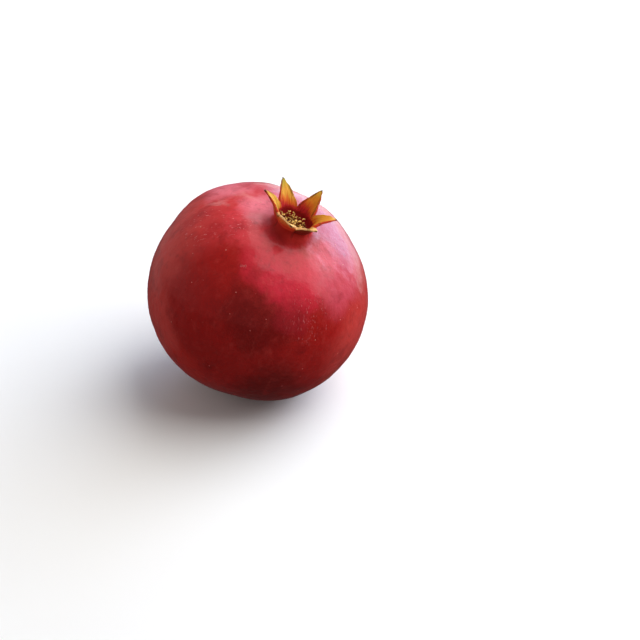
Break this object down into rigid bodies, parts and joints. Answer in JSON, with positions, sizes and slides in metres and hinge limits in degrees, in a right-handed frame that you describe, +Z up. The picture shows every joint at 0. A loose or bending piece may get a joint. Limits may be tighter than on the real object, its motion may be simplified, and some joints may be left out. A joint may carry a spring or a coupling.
{
  "type": "pomegranate",
  "caption": "Whole pomegranate, a round leathery-skinned fruit with a lobed crown holding dried stamens and a cut stalk stub, lying on a small flat spot.",
  "frame": {"origin": "middle of the small flat spot of skin that the fruit rests on", "axes": "+Z up from the table; the fruit's own axis, from stalk to crown, leans about 23 degrees from +Z towards +X and a little -Y; -Y is the front, which the crown leans to beside +X"},
  "size_m": [0.0964, 0.0953, 0.104],
  "materials": {
    "rind": "satin, waxy crimson rind that turns coral by the crown, with orange-yellow lobes",
    "dried_stamen": "dry, tan-golden threads and anthers",
    "dried_style": "dry, brown",
    "stalk": "rough grey-brown bark with a pale cut end"
  },
  "bodies": {
    "root": {"fruit": "rind", "stalk_stub": "stalk", "style": "dried_style", "stamen_01": "dried_stamen", "stamen_02": "dried_stamen", "stamen_03": "dried_stamen", "stamen_04": "dried_stamen", "stamen_05": "dried_stamen", "stamen_06": "dried_stamen", "stamen_07": "dried_stamen", "stamen_08": "dried_stamen", "stamen_09": "dried_stamen", "stamen_10": "dried_stamen", "stamen_11": "dried_stamen", "stamen_12": "dried_stamen", "stamen_13": "dried_stamen", "stamen_14": "dried_stamen", "stamen_15": "dried_stamen", "stamen_16": "dried_stamen", "stamen_17": "dried_stamen", "stamen_18": "dried_stamen", "stamen_19": "dried_stamen", "stamen_20": "dried_stamen", "stamen_21": "dried_stamen", "stamen_22": "dried_stamen", "stamen_23": "dried_stamen", "stamen_24": "dried_stamen", "stamen_25": "dried_stamen", "stamen_26": "dried_stamen", "stamen_27": "dried_stamen", "stamen_28": "dried_stamen", "stamen_29": "dried_stamen", "stamen_30": "dried_stamen", "stamen_31": "dried_stamen", "stamen_32": "dried_stamen", "stamen_33": "dried_stamen", "stamen_34": "dried_stamen", "stamen_35": "dried_stamen", "stamen_36": "dried_stamen"}
  },
  "joints": []
}
